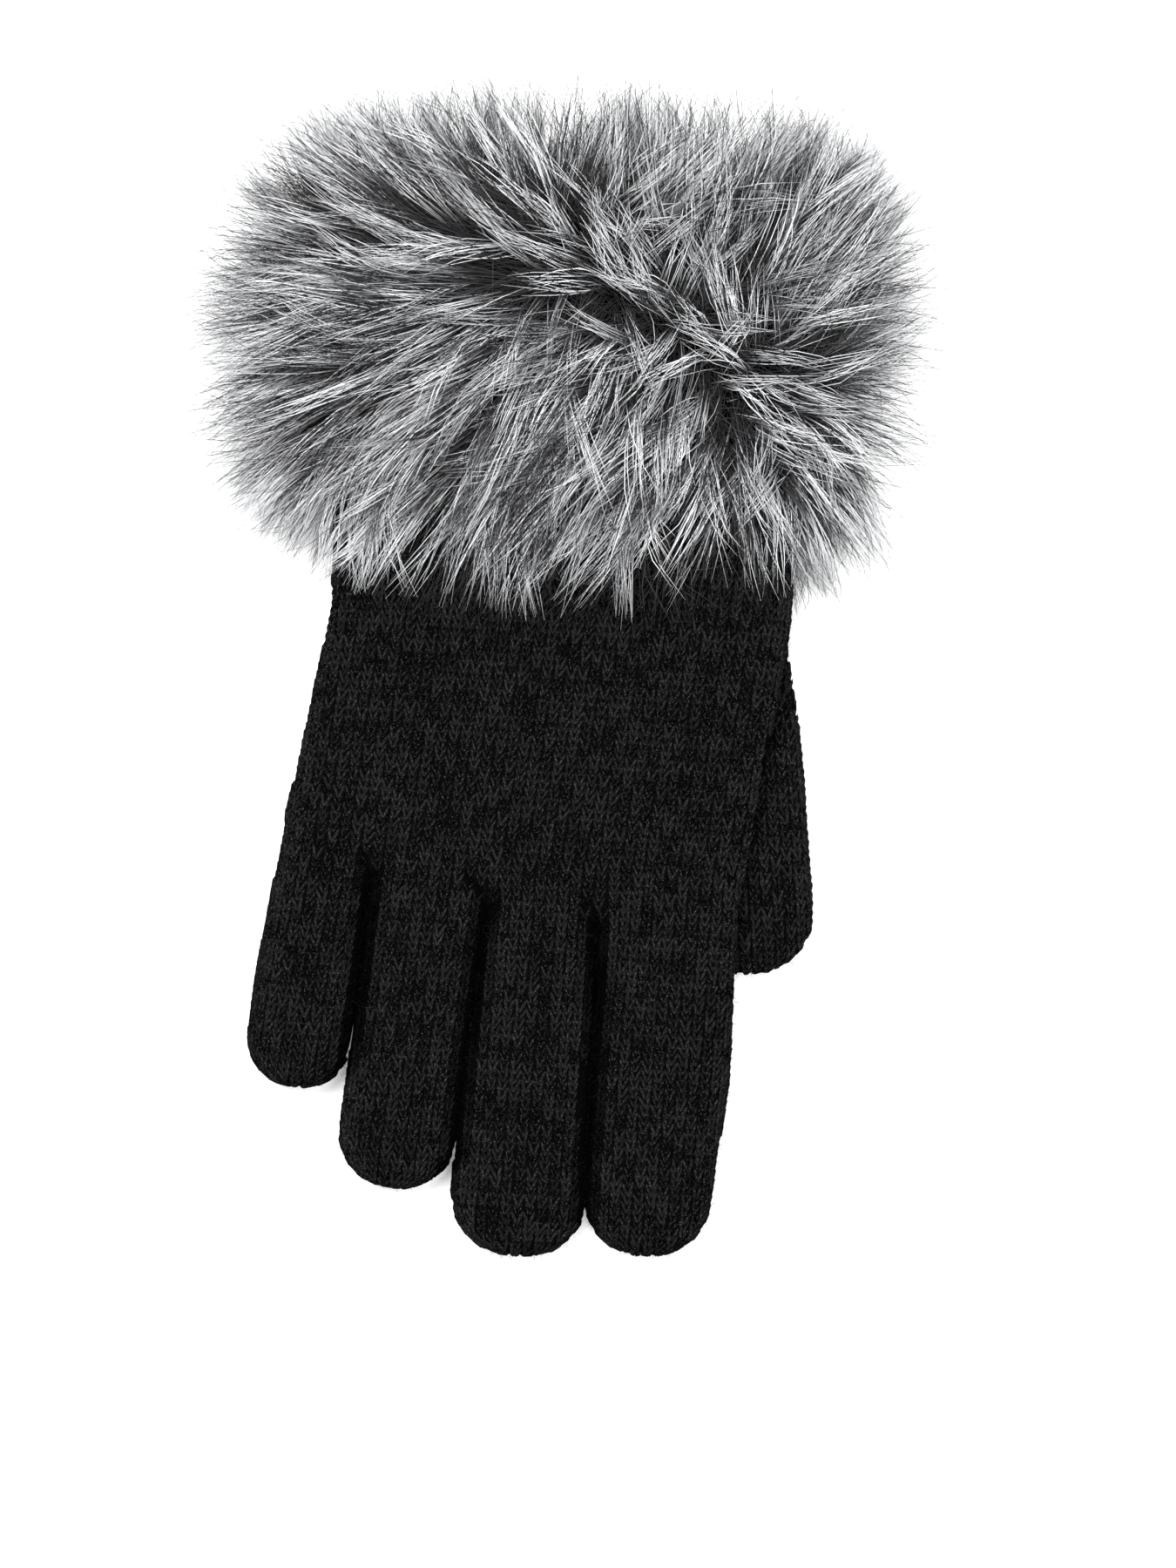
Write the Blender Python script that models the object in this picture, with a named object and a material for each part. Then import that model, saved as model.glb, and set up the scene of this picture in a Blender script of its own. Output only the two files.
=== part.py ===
"""A knitted right-hand glove with a long-pile fur cuff, lying palm down with its thumb tucked under.

The knitted fabric is a hollow hand with its thumb, four hollow fingers that meet it at the knuckles,
and the wrist, which meets it beneath the fur.
The fur cuff is a band of backing cloth round the wrist, with its pile fused to it in locks.
Axes: the fingers point to -Y, the cuff to +Y, the back of the hand to +Z. Z = 0 is the table.
"""

import math
from dataclasses import dataclass

import bmesh
import bpy
from mathutils import Matrix, Vector

MM = 0.001

# Knitted shell
KNIT_WALL = 2.2 * MM
HAND_LENGTH = 143.5 * MM  # from the finger crotches to the cuff's opening
KNUCKLE_Y = -28.5 * MM  # where the crotch line crosses x = 0
KNUCKLE_LEFT_X = -52.2 * MM  # the hand's edge on the little finger's side
KNUCKLE_SLANT = -0.132  # the crotch line's slope across the hand
KNUCKLE_ROUND = 7.0 * MM  # how far the hand's end rounds over past the crotches
FINGER_SEAM = 7.6 * MM  # how far past the crotches the fingers' tubes start
WRIST_SEAM_Y = 52.0 * MM  # where the wrist's tube starts, hidden by the fur
SEAM_GAP = 0.3 * MM
WELD = 0.003 * MM  # corners this close are one
CUFF_WIDTH = 95.0 * MM
CUFF_CENTRE_X = 1.2 * MM
PALM_THICKNESS = 16.0 * MM
CUFF_THICKNESS = 15.0 * MM
CUFF_RISE = 5.5 * MM  # the fur beneath holds the wrist this far off the table
CREASE = 0.5 * MM  # the gap between neighbouring fingers
FINGER_THICKNESS = 16.0 * MM
SINK = 0.5 * MM  # how much of the underside the table flattens
LITTLE_BASE = 18.2 * MM  # each finger's width at the crotches, its widest and its length from there
LITTLE_WIDTH = 20.6 * MM
LITTLE_LENGTH = 51.0 * MM
RING_BASE = 25.0 * MM
RING_WIDTH = 25.0 * MM
RING_LENGTH = 68.0 * MM
MIDDLE_BASE = 21.3 * MM
MIDDLE_WIDTH = 27.2 * MM
MIDDLE_LENGTH = 77.5 * MM
FIRST_BASE = 29.0 * MM
FIRST_WIDTH = 28.4 * MM
FIRST_LENGTH = 72.5 * MM
THUMB_WIDTH = 27.4 * MM
THUMB_LENGTH = 64.0 * MM
THUMB_THICKNESS = 9.0 * MM
THUMB_LEAN = math.radians(-6.9)
THUMB_ROOT_INSET = 9.5 * MM  # its root's middle, in from the cuff's edge on its own side
THUMB_ROOT_ALONG = 0.336  # where it leaves the hand, as a share of HAND_LENGTH

# The palm and first finger drape over the thumb that is tucked under them
DRAPE_GAP = 1.6 * MM
DRAPE_TOP_SHARE = 0.5  # the back of the hand rises by this share of what the palm side rises
DRAPE_REACH = 29.0 * MM  # from the thumb's middle to where the cloth starts to rise
DRAPE_SLOPE = 21.0 * MM  # the width over which it rises

# Fur cuff
BAND_HEIGHT = 58.0 * MM
BAND_WALL = 1.8 * MM
BAND_CLEARANCE = 0.5 * MM
FUR_LENGTH = 28.5 * MM
FUR_FAN = math.radians(76)  # how far the pile leans along the arm at the band's two edges
FUR_LOFT = 0.70  # how steeply the pile stands on the back of the hand
FUR_PARTING = math.radians(24)  # how far the parting lies off the middle, towards the thumb
LOCK_VARIATION = 0.14  # share by which the locks' lengths differ
LOCK_ROWS = 7
LOOP_SIDES = 36
SIDE_COLUMNS = 6  # columns of locks in each of the cuff's two sides
HAND_SQUARENESS = 2.6
FINGER_SQUARENESS = 2.2
DIGIT_SIDES = 16

KNIT_COLOUR = (0.012, 0.012, 0.013, 1.0)
FUR_COLOUR = (0.33, 0.34, 0.35, 1.0)

# Rows run from the crotches (0) to the opening (1). edge_blend: 0 is the knuckles' place and width, 1 the cuff's.
# rise is a share of CUFF_RISE, slant of KNUCKLE_SLANT, pull of the cuff's width, towards the thumb.
HAND_ROWS = (
    # along, edge_blend, rise, slant, pull
    (0.03, 0.00, 0.00, 1.00, 0.000),
    (0.07, 0.18, 0.00, 0.80, 0.000),
    (0.18, 0.55, 0.00, 0.35, 0.000),
    (0.31, 0.80, 0.00, 0.00, 0.010),
    (0.39, 0.95, 0.16, 0.00, 0.017),
    (0.47, 1.00, 0.54, 0.00, 0.014),
    (0.54, 1.00, 0.88, 0.00, 0.008),
    (0.59, 1.00, 1.00, 0.00, 0.000),
    (1.00, 1.00, 1.00, 0.00, 0.000),
)


@dataclass(frozen=True)
class Digit:
    """One finger: its sizes, and rows of (along, width, side) as shares of its straight stretch and width."""

    name: str
    base_width: float
    width: float
    length: float
    lean: float
    rows: tuple


FINGERS = (
    Digit("little_finger", LITTLE_BASE, LITTLE_WIDTH, LITTLE_LENGTH, math.radians(5.2),
          ((0.35, 0.94, 0.0), (0.75, 1.0, 0.0), (1.0, 0.97, 0.0))),
    Digit("ring_finger", RING_BASE, RING_WIDTH, RING_LENGTH, math.radians(3.9),
          ((0.35, 0.945, 0.0), (0.7, 0.93, 0.0), (1.0, 0.94, 0.0))),
    Digit("middle_finger", MIDDLE_BASE, MIDDLE_WIDTH, MIDDLE_LENGTH, math.radians(0.6),
          ((0.28, 0.88, -0.01), (0.6, 0.98, -0.02), (1.0, 1.0, -0.02))),
    Digit("first_finger", FIRST_BASE, FIRST_WIDTH, FIRST_LENGTH, math.radians(0.2),
          ((0.25, 0.97, 0.03), (0.6, 0.97, 0.045), (1.0, 0.90, 0.01))),
)
THUMB_ROWS = (
    # along, width, lift of its middle and half height as shares of THUMB_THICKNESS
    (-0.35, 0.70, 1.10, 0.45),
    (-0.10, 0.80, 0.96, 0.50),
    (0.08, 0.88, 0.74, 0.50),
    (0.25, 0.93, 0.55, 0.50),
    (0.45, 0.97, 0.50, 0.50),
    (1.00, 1.00, 0.50, 0.50),
)
FINGER_ROOT_ROWS = (
    # depth inside the palm as a share of the base width, width, height
    (0.75, 0.80, 0.70),
    (0.30, 0.92, 0.94),
    (0.00, 1.00, 0.99),
)
# The cuff's parts round the loop. Every other one is a side, the first lying evenly about the loop's start.
FUR_PARTS = ("fur_thumb_side", "fur_back", "fur_little_side", "fur_palm_side")

TIP_ANGLES = [math.radians(a) for a in (22, 42, 60, 76)]
TIP_BLUNTNESS = 0.88  # the rounded tip's length as a share of half the width


@dataclass(frozen=True)
class Section:
    """One rounded cross-section of a tube that lies on the table."""

    centre: Vector
    half_width: float
    half_height: float
    across: Vector
    squareness: float

    def point(self, angle, grow=0.0):
        """The point at that angle round the section, moved out by grow."""
        power = 2 / self.squareness
        cos, sin = math.cos(angle), math.sin(angle)
        side = math.copysign(abs(cos) ** power, cos) * (self.half_width + grow)
        up = math.copysign(abs(sin) ** power, sin) * (self.half_height + grow)
        return self.centre + self.across * side + Vector((0, 0, up))


def smooth(share):
    """A smooth step from 0 to 1."""
    share = min(1.0, max(0.0, share))
    return share * share * (3 - 2 * share)


def blend(a, b, share):
    return a + (b - a) * share


def row_at(rows, along):
    """The row of a table at that place, worked out between its neighbours."""
    if along <= rows[0][0]:
        return rows[0]
    for low, high in zip(rows, rows[1:]):
        if along <= high[0]:
            share = (along - low[0]) / (high[0] - low[0])
            return tuple(blend(a, b, share) for a, b in zip(low, high))
    return rows[-1]


def knuckle_width():
    return sum(digit.base_width for digit in FINGERS) + CREASE * (len(FINGERS) - 1)


def opening_y():
    return KNUCKLE_Y + HAND_LENGTH


def hand_section(along, wall=0.0):
    """The hand's cross-section at a share of its length, inside a wall of that thickness."""
    _, edge, rise, slant, pull = row_at(HAND_ROWS, along)
    knuckle_centre = KNUCKLE_LEFT_X + knuckle_width() / 2
    centre_x = blend(knuckle_centre, CUFF_CENTRE_X, edge) + pull * CUFF_WIDTH
    thickness = blend(PALM_THICKNESS, CUFF_THICKNESS, rise)
    centre_y = KNUCKLE_Y + along * HAND_LENGTH + slant * KNUCKLE_SLANT * centre_x
    centre_z = rise * CUFF_RISE + thickness / 2 - SINK * (1 - rise)
    return Section(
        Vector((centre_x, centre_y, centre_z)),
        blend(knuckle_width(), CUFF_WIDTH, edge) / 2 - wall,
        thickness / 2 - wall,
        Vector((1, slant * KNUCKLE_SLANT, 0)),
        HAND_SQUARENESS,
    )


def loop_angles(section, sides):
    """Angles that space points round a section, closer together where it turns, from the thumb's side on."""
    steps = 2000
    ring = [section.point(2 * math.pi * i / steps) for i in range(steps + 1)]
    travelled = [0.0]
    for i in range(steps):
        step = ring[i + 1] - ring[i]
        turn = step.angle(ring[i] - ring[i - 1 if i else steps - 1])
        travelled.append(travelled[-1] + step.length + turn * section.half_height)
    angles, i = [], 0
    for side in range(sides):
        target = travelled[-1] * side / sides
        while travelled[i + 1] < target:
            i += 1
        share = (target - travelled[i]) / (travelled[i + 1] - travelled[i])
        angles.append(2 * math.pi * (i + share) / steps)
    return angles


def band_stations():
    """Where the fur band's rows lie, as shares of the hand's length."""
    low = 1 - BAND_HEIGHT / HAND_LENGTH
    return [blend(low, 1, row / LOCK_ROWS) for row in range(LOCK_ROWS + 1)]


def thumb_root():
    """The middle of the thumb where it leaves the hand."""
    x = CUFF_CENTRE_X + CUFF_WIDTH / 2 - THUMB_ROOT_INSET
    return Vector((x, KNUCKLE_Y + THUMB_ROOT_ALONG * HAND_LENGTH, 0))


def draped(point):
    """The point as it lies over the tucked thumb."""
    root = thumb_root()
    middle_x = root.x - (root.y - point.y) * math.tan(THUMB_LEAN)
    tip_y = root.y - THUMB_LENGTH * math.cos(THUMB_LEAN)
    slope = DRAPE_SLOPE
    across = smooth((point.x - middle_x + DRAPE_REACH) / slope)
    from_wrist = smooth((root.y + 1.75 * slope - point.y) / (2.25 * slope))
    from_tip = smooth((point.y - tip_y + 1.1 * slope) / slope)
    lift = (THUMB_THICKNESS + DRAPE_GAP) * across * from_wrist * from_tip
    share = min(1.0, max(0.0, point.z / PALM_THICKNESS))
    return point + Vector((0, 0, lift * blend(1, DRAPE_TOP_SHARE, share)))


def tube_mesh(name, rings, apex=None):
    """A closed tube through rings of points. The last ring closes on apex, or flat without one."""
    mesh = bpy.data.meshes.new(name)
    sheet = bmesh.new()
    loops = [[sheet.verts.new(p) for p in ring] for ring in rings]
    count = len(loops[0])
    for low, high in zip(loops, loops[1:]):
        for i in range(count):
            j = (i + 1) % count
            sheet.faces.new((low[i], low[j], high[j], high[i]))
    sheet.faces.new(list(reversed(loops[0])))
    if apex is None:
        sheet.faces.new(loops[-1])
    else:
        tip = sheet.verts.new(apex)
        for i in range(count):
            sheet.faces.new((loops[-1][i], loops[-1][(i + 1) % count], tip))
    bmesh.ops.recalc_face_normals(sheet, faces=sheet.faces)
    sheet.to_mesh(mesh)
    sheet.free()
    return mesh


def new_object(name, mesh, material=None):
    body = bpy.data.objects.new(name, mesh)
    bpy.context.scene.collection.objects.link(body)
    if material:
        mesh.materials.append(material)
    return body


def helper(name, mesh):
    """An object that only joins or cuts another."""
    body = new_object(name, mesh)
    body.hide_render = True
    body.display_type = "WIRE"
    return body


def hand_mesh(name, wall):
    """The hand's tube, from the opening to its rounded end between the fingers."""
    angles = loop_angles(hand_section(1), LOOP_SIDES)
    alongs = sorted({row[0] for row in HAND_ROWS} | set(band_stations()), reverse=True)
    sections = [hand_section(along, wall) for along in alongs]
    rings = [[draped(s.point(a)) for a in angles] for s in sections]
    if wall:
        overshoot = Vector((0, wall, 0))
        rings[0] = [p + overshoot for p in rings[0]]
    end = sections[-1]
    reach = HAND_ROWS[0][0] * HAND_LENGTH + KNUCKLE_ROUND - wall
    for turn in (math.radians(30), math.radians(55), math.radians(75)):
        past = Section(
            end.centre - Vector((0, reach * math.sin(turn), 0)),
            end.half_width - reach * (1 - math.cos(turn)) / 2,
            end.half_height * math.cos(turn),
            end.across,
            end.squareness,
        )
        rings.append([draped(past.point(a)) for a in angles])
    return tube_mesh(name, rings)


def tip_rings(section, forward, radius, angles, place):
    """The rings of a rounded tip past the last straight section, and its end point."""
    rings = []
    for turn in TIP_ANGLES:
        past = Section(
            section.centre + forward * radius * math.sin(turn),
            section.half_width * math.cos(turn) ** 0.85,
            section.half_height * math.cos(turn) ** 0.7,
            section.across,
            section.squareness,
        )
        rings.append([place(past.point(a)) for a in angles])
    return rings, place(section.centre + forward * radius)


def finger_roots():
    """Each finger with the middle of its base on the crotch line."""
    left = KNUCKLE_LEFT_X
    for digit in FINGERS:
        x = left + digit.base_width / 2
        yield digit, Vector((x, KNUCKLE_Y + KNUCKLE_SLANT * x, 0))
        left += digit.base_width + CREASE


def finger_mesh(name, digit, root, wall):
    """One finger's tube, from inside the palm to its tip."""
    forward = Vector((-math.sin(digit.lean), -math.cos(digit.lean), 0))
    across = Vector((math.cos(digit.lean), -math.sin(digit.lean), 0))
    radius = digit.width / 2 * TIP_BLUNTNESS
    straight = digit.length - radius
    half_height = FINGER_THICKNESS / 2
    middle = Vector((0, 0, half_height - SINK))
    places = [
        (-depth * digit.base_width, width * digit.base_width, height, 0.0)
        for depth, width, height in FINGER_ROOT_ROWS
    ]
    places += [(along * straight, width * digit.width, 1.0, side * digit.width)
               for along, width, side in digit.rows]
    sections = [
        Section(
            root + middle + forward * along + across * side,
            width / 2 - wall,
            half_height * height - wall,
            across,
            FINGER_SQUARENESS,
        )
        for along, width, height, side in places
    ]
    angles = [2 * math.pi * i / DIGIT_SIDES for i in range(DIGIT_SIDES)]
    rings = [[draped(s.point(a)) for a in angles] for s in sections]
    tip, apex = tip_rings(sections[-1], forward, radius - wall, angles, draped)
    return tube_mesh(name, rings + tip, apex)


def thumb_mesh(name, wall):
    """The thumb's tube, which comes down out of the hand's side and lies on the table under the palm."""
    root = thumb_root()
    forward = Vector((-math.sin(THUMB_LEAN), -math.cos(THUMB_LEAN), 0))
    across = Vector((math.cos(THUMB_LEAN), -math.sin(THUMB_LEAN), 0))
    radius = THUMB_WIDTH / 2 * TIP_BLUNTNESS
    straight = THUMB_LENGTH - radius
    sections = [
        Section(
            root + forward * along * straight + Vector((0, 0, middle * THUMB_THICKNESS)),
            width * THUMB_WIDTH / 2 - wall,
            height * THUMB_THICKNESS - wall,
            across,
            FINGER_SQUARENESS,
        )
        for along, width, middle, height in THUMB_ROWS
    ]
    angles = [2 * math.pi * i / DIGIT_SIDES for i in range(DIGIT_SIDES)]
    rings = [[s.point(a) for a in angles] for s in sections]
    tip, apex = tip_rings(sections[-1], forward, radius - wall, angles, Vector)
    return tube_mesh(name, rings + tip, apex)


def join(body, helpers, operation):
    for other in helpers:
        step = body.modifiers.new(f"{operation.lower()}_{other.name}", "BOOLEAN")
        step.operation = operation
        step.solver = "EXACT"
        step.object = other


def seam_mesh(name, y, slant):
    """A thin slab across the fabric, which parts two of its tubes."""
    slab = bmesh.new()
    bmesh.ops.create_cube(slab, size=1.0)
    bmesh.ops.scale(slab, verts=slab.verts, vec=(2 * CUFF_WIDTH, SEAM_GAP, 4 * PALM_THICKNESS))
    bmesh.ops.rotate(slab, verts=slab.verts, matrix=Matrix.Rotation(math.atan(slant), 3, "Z"))
    bmesh.ops.translate(slab, verts=slab.verts, vec=(0, y, PALM_THICKNESS))
    mesh = bpy.data.meshes.new(name)
    slab.to_mesh(mesh)
    slab.free()
    return mesh


def face_islands(fabric):
    """The closed bodies of a mesh as sets of faces, the largest first."""
    unseen, islands = set(fabric.faces), []
    while unseen:
        island, front = set(), {next(iter(unseen))}
        while front:
            island |= front
            edges = {e for face in front for e in face.edges if len(e.link_faces) == 2}
            front = {face for e in edges for face in e.link_faces} - island
        unseen -= island
        islands.append(island)
    return sorted(islands, key=len, reverse=True)


def cut_mesh(body):
    """The mesh that a body's cuts and joins give."""
    bpy.context.view_layer.update()
    graph = bpy.context.evaluated_depsgraph_get()
    return bpy.data.meshes.new_from_object(body.evaluated_get(graph))


def separate(mesh, names):
    """Makes one mesh of each of a mesh's largest bodies, without the slivers that cutting leaves."""
    fabric = bmesh.new()
    fabric.from_mesh(mesh)
    bmesh.ops.remove_doubles(fabric, verts=fabric.verts, dist=WELD)
    bmesh.ops.dissolve_degenerate(fabric, edges=fabric.edges, dist=WELD)
    bmesh.ops.triangulate(fabric, faces=fabric.faces)
    fabric.faces.index_update()
    pieces = []
    for name, island in zip(names, face_islands(fabric)):
        chosen = {face.index for face in island}
        piece = fabric.copy()
        bmesh.ops.delete(piece, geom=[face for face in piece.faces if face.index not in chosen], context="FACES")
        own = bpy.data.meshes.new(name)
        piece.to_mesh(own)
        piece.free()
        pieces.append(own)
    fabric.free()
    return pieces


def carve(name, mesh, others, operation):
    """A mesh after others are joined to it or cut out of it, as one clean body."""
    body = helper(name, mesh)
    join(body, others, operation)
    carved = separate(cut_mesh(body), [name])[0]
    bpy.data.objects.remove(body)
    return carved


def build_knit(material):
    """The knitted wrist, the hand with its thumb and the fingers, all hollow and flattened where they rest."""
    skins, cores = [], []
    for digit, root in finger_roots():
        skins.append(helper(f"{digit.name}_skin", finger_mesh(digit.name, digit, root, 0.0)))
        cores.append(helper(f"{digit.name}_core", finger_mesh(digit.name, digit, root, KNIT_WALL)))
    seams = [
        helper("finger_seam", seam_mesh("finger_seam", KNUCKLE_Y - FINGER_SEAM, KNUCKLE_SLANT)),
        helper("wrist_seam", seam_mesh("wrist_seam", WRIST_SEAM_Y, 0.0)),
    ]
    hand_core = helper("hand_core", hand_mesh("hand_core", KNIT_WALL))
    thumb_skin = helper("thumb_skin", thumb_mesh("thumb", 0.0))
    thumb_core = helper("thumb_core", thumb_mesh("thumb", KNIT_WALL))
    whole = helper("whole", hand_mesh("whole", 0.0))
    join(whole, skins, "UNION")
    join(whole, seams, "DIFFERENCE")
    tubes = separate(cut_mesh(whole), ["tube"] * (2 + len(FINGERS)))
    tubes.sort(key=lambda mesh: max(vertex.co.y for vertex in mesh.vertices), reverse=True)
    wrist, hand, *fingers = tubes
    fingers.sort(key=lambda mesh: min(vertex.co.x for vertex in mesh.vertices))
    hand = carve("knit_hand", hand, [thumb_skin], "UNION")
    meshes = {
        "knit_wrist": carve("knit_wrist", wrist, [hand_core], "DIFFERENCE"),
        "knit_hand": carve("knit_hand", hand, [hand_core, thumb_core] + cores, "DIFFERENCE"),
    }
    for digit, finger, core in zip(FINGERS, fingers, cores):
        meshes[digit.name] = carve(digit.name, finger, [core], "DIFFERENCE")
    for other in [whole, hand_core, thumb_skin, thumb_core] + seams + skins + cores:
        bpy.data.objects.remove(other)
    for name, mesh in meshes.items():
        for vertex in mesh.vertices:
            vertex.co.z = max(0.0, vertex.co.z)
        mesh.shade_smooth()
        mesh.set_sharp_from_angle(angle=math.radians(50))
        new_object(name, mesh, material)


def loop_turn(angles, column):
    """The angle at which a column of the loop starts, for any whole number of turns."""
    return angles[column % LOOP_SIDES] + 2 * math.pi * (column // LOOP_SIDES)


def fur_point(angle, row, out):
    """A point in the pile: out is 0 on the backing and 1 at the tips."""
    along = blend(1 - BAND_HEIGHT / HAND_LENGTH, 1, row / LOCK_ROWS)
    section = hand_section(along)
    base = section.point(angle, BAND_CLEARANCE + BAND_WALL)
    side = (base.x - section.centre.x) / section.half_width
    up = (base.z - section.centre.z) / section.half_height
    turn = math.atan2(up, side)
    turn += FUR_PARTING * math.sin(turn)
    lean = FUR_FAN * (2 * row / LOCK_ROWS - 1)
    underside = section.centre.z - section.half_height - BAND_CLEARANCE - BAND_WALL
    steepness = FUR_LOFT * math.cos(lean) if up > 0 else underside / FUR_LENGTH / (1 + LOCK_VARIATION)
    direction = Vector((math.cos(turn) * math.cos(lean), math.sin(lean), math.sin(turn) * steepness))
    return base + direction * FUR_LENGTH * out


def lock_length(column, row):
    """A length share that differs from lock to lock, the same on every run."""
    return 1 + LOCK_VARIATION * math.sin(2.4 * column + 4.1 * row) * math.cos(1.7 * column - 2.9 * row)


def seamed(row):
    """A row of points along the loop, its two ends drawn in by half the gap between the cuff's parts."""
    for end, other in ((0, 1), (-1, -2)):
        row[end] += (row[other] - row[end]).normalized() * SEAM_GAP / 2
    return row


def build_fur_cuff(material):
    """The backing band in four parts, its pile in tapered locks, each grown from one cell of its outer face."""
    angles = loop_angles(hand_section(1), LOOP_SIDES)
    first = -SIDE_COLUMNS // 2
    for number, name in enumerate(FUR_PARTS):
        last = first + (LOOP_SIDES // 2 - SIDE_COLUMNS if number % 2 else SIDE_COLUMNS)
        turns = [loop_turn(angles, column) for column in range(first, last + 1)]
        build_fur_part(name, angles, turns, first, material)
        first = last


def build_fur_part(name, angles, turns, first, material):
    """One part of the cuff, over the columns whose angles are turns."""
    mesh = bpy.data.meshes.new(name)
    fur = bmesh.new()
    inner = [
        [fur.verts.new(p) for p in seamed([hand_section(along).point(a, BAND_CLEARANCE) for a in turns])]
        for along in band_stations()
    ]
    outer = [
        [fur.verts.new(p) for p in seamed([fur_point(a, row, 0) for a in turns])] for row in range(LOCK_ROWS + 1)
    ]
    for row in range(LOCK_ROWS):
        for i in range(len(turns) - 1):
            fur.faces.new((inner[row][i + 1], inner[row][i], inner[row + 1][i], inner[row + 1][i + 1]))
            base = (outer[row][i], outer[row][i + 1], outer[row + 1][i + 1], outer[row + 1][i])
            add_lock(fur, base, angles, first + i, row)
        for i in (0, -1):
            fur.faces.new((inner[row][i], outer[row][i], outer[row + 1][i], inner[row + 1][i]))
    for i in range(len(turns) - 1):
        fur.faces.new((inner[0][i], inner[0][i + 1], outer[0][i + 1], outer[0][i]))
        fur.faces.new((inner[-1][i + 1], inner[-1][i], outer[-1][i], outer[-1][i + 1]))
    bmesh.ops.recalc_face_normals(fur, faces=fur.faces)
    fur.to_mesh(mesh)
    fur.free()
    return new_object(name, mesh, material)


def add_lock(fur, base, angles, column, row):
    """One lock on the cell whose corners are base, narrowing through two rings to a point."""
    first, second = loop_turn(angles, column), loop_turn(angles, column + 1)
    corners = ((first, row), (second, row), (second, row + 1), (first, row + 1))
    middle = ((first + second) / 2, row + 0.5)
    length = lock_length(column % LOOP_SIDES, row)
    ring = list(base)
    for out, gather in ((0.42, 0.22), (0.78, 0.55)):
        centre = fur_point(*middle, out * length)
        upper = [fur.verts.new(fur_point(*c, out * length).lerp(centre, gather)) for c in corners]
        for a in range(4):
            b = (a + 1) % 4
            fur.faces.new((ring[a], ring[b], upper[b], upper[a]))
        ring = upper
    tip = fur.verts.new(fur_point(*middle, length))
    for a in range(4):
        fur.faces.new((ring[a], ring[(a + 1) % 4], tip))


def plain_material(name, colour, roughness):
    material = bpy.data.materials.new(name)
    material.use_nodes = True
    shader = material.node_tree.nodes["Principled BSDF"]
    shader.inputs["Base Color"].default_value = colour
    shader.inputs["Roughness"].default_value = roughness
    return material


def main():
    for old in list(bpy.data.objects):
        bpy.data.objects.remove(old)
    build_knit(plain_material("black_wool_knit", KNIT_COLOUR, 0.95))
    build_fur_cuff(plain_material("frosted_fur", FUR_COLOUR, 0.8))


if __name__ == "__main__":
    main()
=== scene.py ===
"""A black knitted glove with a frosted fur cuff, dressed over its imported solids.

The glove lies palm down: fingers to -Y, cuff to +Y, back of the hand to +Z. Sizes are in metres.
"""

from __future__ import annotations

import logging
import math
from abc import ABC, abstractmethod
from dataclasses import dataclass, field
from enum import Enum
from typing import Any, Iterator, Sequence

import bmesh
import bpy
import numpy as np
from bpy.types import ID, Material, Mesh, Node, NodeSocket, NodeTree, Object
from mathutils import Matrix, Vector
from mathutils.bvhtree import BVHTree

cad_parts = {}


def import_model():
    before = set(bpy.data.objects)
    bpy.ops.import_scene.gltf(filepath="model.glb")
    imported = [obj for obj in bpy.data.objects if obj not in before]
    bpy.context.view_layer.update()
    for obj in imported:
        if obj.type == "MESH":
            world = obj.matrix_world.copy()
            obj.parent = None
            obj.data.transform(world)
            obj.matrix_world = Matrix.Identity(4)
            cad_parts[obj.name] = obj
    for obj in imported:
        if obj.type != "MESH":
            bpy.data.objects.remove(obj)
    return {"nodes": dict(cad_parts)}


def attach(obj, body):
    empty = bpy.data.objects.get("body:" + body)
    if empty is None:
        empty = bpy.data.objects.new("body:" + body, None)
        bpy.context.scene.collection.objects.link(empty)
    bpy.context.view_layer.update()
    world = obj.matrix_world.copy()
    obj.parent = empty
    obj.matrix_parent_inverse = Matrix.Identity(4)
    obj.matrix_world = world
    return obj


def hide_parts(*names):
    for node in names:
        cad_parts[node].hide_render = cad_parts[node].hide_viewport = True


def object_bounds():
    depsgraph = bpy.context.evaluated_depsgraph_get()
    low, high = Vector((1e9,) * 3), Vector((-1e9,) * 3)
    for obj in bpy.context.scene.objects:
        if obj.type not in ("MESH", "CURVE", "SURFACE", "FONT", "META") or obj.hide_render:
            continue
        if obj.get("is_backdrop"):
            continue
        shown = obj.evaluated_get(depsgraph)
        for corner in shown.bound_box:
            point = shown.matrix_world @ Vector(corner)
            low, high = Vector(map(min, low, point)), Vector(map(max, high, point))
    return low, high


MM = 0.001
BODY = "root"
CREASE_SLOPE = 0.06
CREASE_Y = -45 * MM
TIP_TURN = math.radians(84)
TABLE_GAP = 0.02 * MM
SMALLEST_OUTLINE = 20 * MM * MM
FINGERS = ("little_finger", "ring_finger", "middle_finger", "first_finger")
FABRIC = ("knit_hand", "knit_wrist", *FINGERS)
CUFF = ("fur_back", "fur_thumb_side", "fur_palm_side", "fur_little_side")
LOG = logging.getLogger("glove")
Array = np.ndarray
Dice = np.random.Generator
Pair = tuple[float, float]
Triple = tuple[float, float, float]


class Slot(Enum):
    """The material slots of the pieces."""

    KNIT = "black_wool_knit"
    FUR = "frosted_fur"


class Coat(Enum):
    """The layers of the fur, from the backing outwards."""

    UNDER = "undercoat"
    TUFT = "tufts"
    GUARD = "guard_hairs"


# ---- node helpers


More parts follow.
